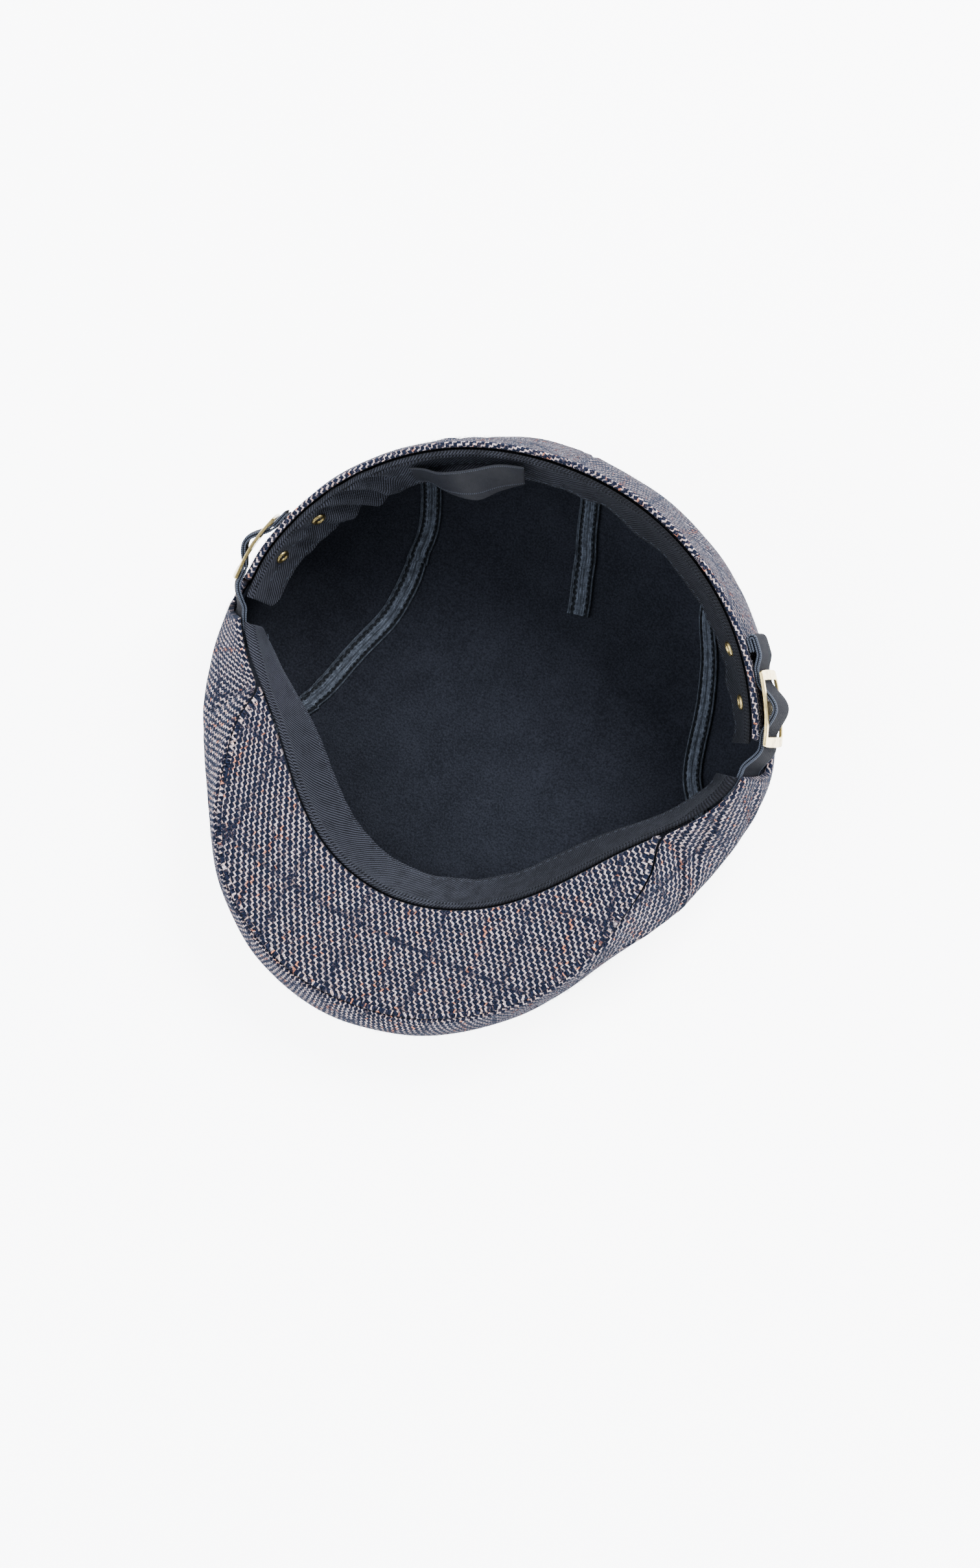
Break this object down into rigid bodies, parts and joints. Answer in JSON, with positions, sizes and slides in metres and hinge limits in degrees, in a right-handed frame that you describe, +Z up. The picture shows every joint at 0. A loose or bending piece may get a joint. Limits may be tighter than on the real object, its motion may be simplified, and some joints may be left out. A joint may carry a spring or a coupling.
{
  "type": "flat golf cap",
  "caption": "Soft tweed flat cap with a crescent peak, brushed lining, sweatband and a buckled strap at each side, lying upside down on its crown.",
  "frame": {"origin": "middle of the cap's box, on the surface that the upturned cap lies on", "axes": "+Z up, out of the open head hollow; -Y towards the peak; +X to the right of someone who faces along +Y"},
  "size_m": [0.2248, 0.2422, 0.092],
  "materials": {
    "tweed": "brushed wool tweed, navy and cream",
    "fleece": "brushed dark navy lining",
    "twill": "dark twill",
    "tape": "stitched grey-blue tape",
    "satin": "woven satin, bare",
    "elastic": "ribbed webbing",
    "antique_brass": "antique, brushed"
  },
  "bodies": {
    "root": {"buckle_left": "antique_brass", "buckle_right": "antique_brass", "crown": "tweed", "dart_tape_back": "tape", "label": "satin", "lining": "fleece", "peak": "tweed", "rivet_left_1": "antique_brass", "rivet_left_2": "antique_brass", "rivet_right_1": "antique_brass", "rivet_right_2": "antique_brass", "seam_tape_left": "tape", "seam_tape_right": "tape", "strap_left": "elastic", "strap_right": "elastic", "sweatband_back": "twill", "sweatband_front": "twill"}
  },
  "joints": []
}
